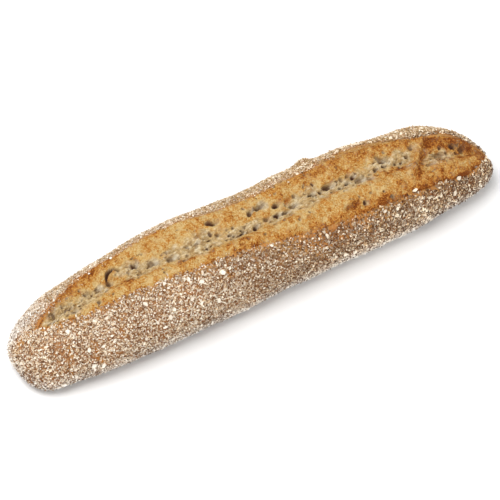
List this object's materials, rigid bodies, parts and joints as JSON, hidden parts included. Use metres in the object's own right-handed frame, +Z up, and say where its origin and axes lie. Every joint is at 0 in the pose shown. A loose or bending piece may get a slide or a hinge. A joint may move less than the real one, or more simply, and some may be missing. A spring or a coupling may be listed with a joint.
{
  "type": "multigrain loaf",
  "caption": "Long hearth-baked loaf with one lengthwise slash torn open along its crown and a bran-rolled crust, on a flat base.",
  "frame": {"origin": "middle of the loaf's length and width, on the flat base it lies on", "axes": "+X along the loaf, +Z up from the base to the slash, -Y the side that the picture shows"},
  "size_m": [0.398, 0.0844, 0.0611],
  "materials": {
    "crust": "dry baked crust covered with bran flakes, with a golden torn crumb in the slash"
  },
  "bodies": {
    "root": {"loaf": "crust"}
  },
  "joints": []
}
